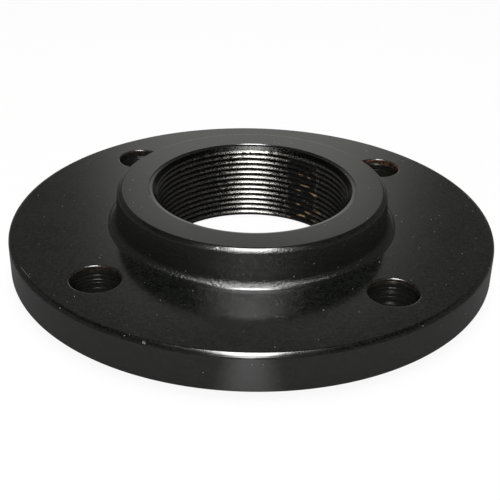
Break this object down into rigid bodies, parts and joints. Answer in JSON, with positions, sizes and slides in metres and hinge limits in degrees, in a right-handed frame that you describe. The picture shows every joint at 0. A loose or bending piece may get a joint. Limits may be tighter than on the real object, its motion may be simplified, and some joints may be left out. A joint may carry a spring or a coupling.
{
  "type": "threaded pipe flange",
  "caption": "Round steel pipe flange with a raised sealing face, bolt holes in its rim and a short threaded hub for the end of a pipe.",
  "frame": {"origin": "centre of the raised sealing face, which the flange rests on", "axes": "+Z along the bore axis, from the sealing face towards the hub's mouth; the bolt holes straddle +X and +Y"},
  "size_m": [0.185, 0.185, 0.032],
  "materials": {
    "lacquered_steel": "semi-gloss black lacquer over a forged and turned skin"
  },
  "bodies": {
    "root": {"flange": "lacquered_steel"}
  },
  "joints": []
}
